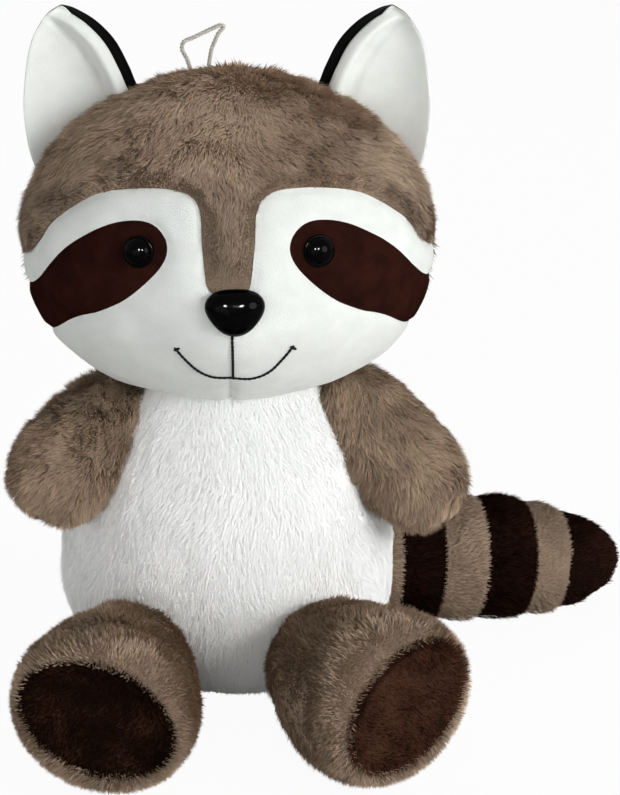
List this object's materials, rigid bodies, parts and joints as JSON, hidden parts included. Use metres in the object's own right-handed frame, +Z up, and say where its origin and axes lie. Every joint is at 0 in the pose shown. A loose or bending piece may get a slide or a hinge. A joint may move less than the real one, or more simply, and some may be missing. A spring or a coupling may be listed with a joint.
{
  "type": "plush raccoon",
  "caption": "Seated soft toy raccoon with brown fur, white belly and face, dark eye patches, upright ears and a ringed tail resting beside it.",
  "frame": {"origin": "on the surface that the toy sits on, under the middle of its body", "axes": "+Z up, the toy looks along -Y, +X to the right as seen from its front"},
  "size_m": [0.3108, 0.288, 0.343],
  "materials": {
    "brown_fur": "medium pile faux fur, mottled",
    "white_fur": "soft medium pile faux fur",
    "white_velvet": "short smooth velvet pile",
    "dark_velvet": "short dark brown velvet pile",
    "dark_fur": "short dense dark brown fur",
    "black_velvet": "short black velvet pile",
    "black_plastic": "polished, moulded",
    "clear_plastic": "plain moulded locking washer",
    "stuffing": "loose polyester fibre",
    "cord": "twisted cord"
  },
  "bodies": {
    "root": {"crown_panel": "brown_fur", "head_back_left": "brown_fur", "head_back_right": "brown_fur", "face_left": "white_velvet", "face_right": "white_velvet", "eye_patch_left": "dark_velvet", "eye_patch_right": "dark_velvet", "head_filling": "stuffing", "ear_front_left": "white_velvet", "ear_front_right": "white_velvet", "ear_back_left": "black_velvet", "ear_back_right": "black_velvet", "eye_left": "black_plastic", "eye_right": "black_plastic", "eye_washer_left": "clear_plastic", "eye_washer_right": "clear_plastic", "nose": "black_plastic", "nose_washer": "clear_plastic", "hanging_loop": "cord", "belly_panel": "white_fur", "back_panel": "brown_fur", "body_filling": "stuffing", "arm_front_left": "brown_fur", "arm_back_left": "brown_fur", "arm_filling_left": "stuffing", "arm_front_right": "brown_fur", "arm_back_right": "brown_fur", "arm_filling_right": "stuffing", "leg_outer_left": "brown_fur", "leg_inner_left": "brown_fur", "sole_left": "dark_fur", "leg_filling_left": "stuffing", "leg_outer_right": "brown_fur", "leg_inner_right": "brown_fur", "sole_right": "dark_fur", "leg_filling_right": "stuffing", "tail_root_band": "brown_fur", "tail_dark_band_1": "dark_fur", "tail_light_band_1": "brown_fur", "tail_dark_band_2": "dark_fur", "tail_light_band_2": "brown_fur", "tail_tip": "dark_fur", "tail_filling": "stuffing"}
  },
  "joints": []
}
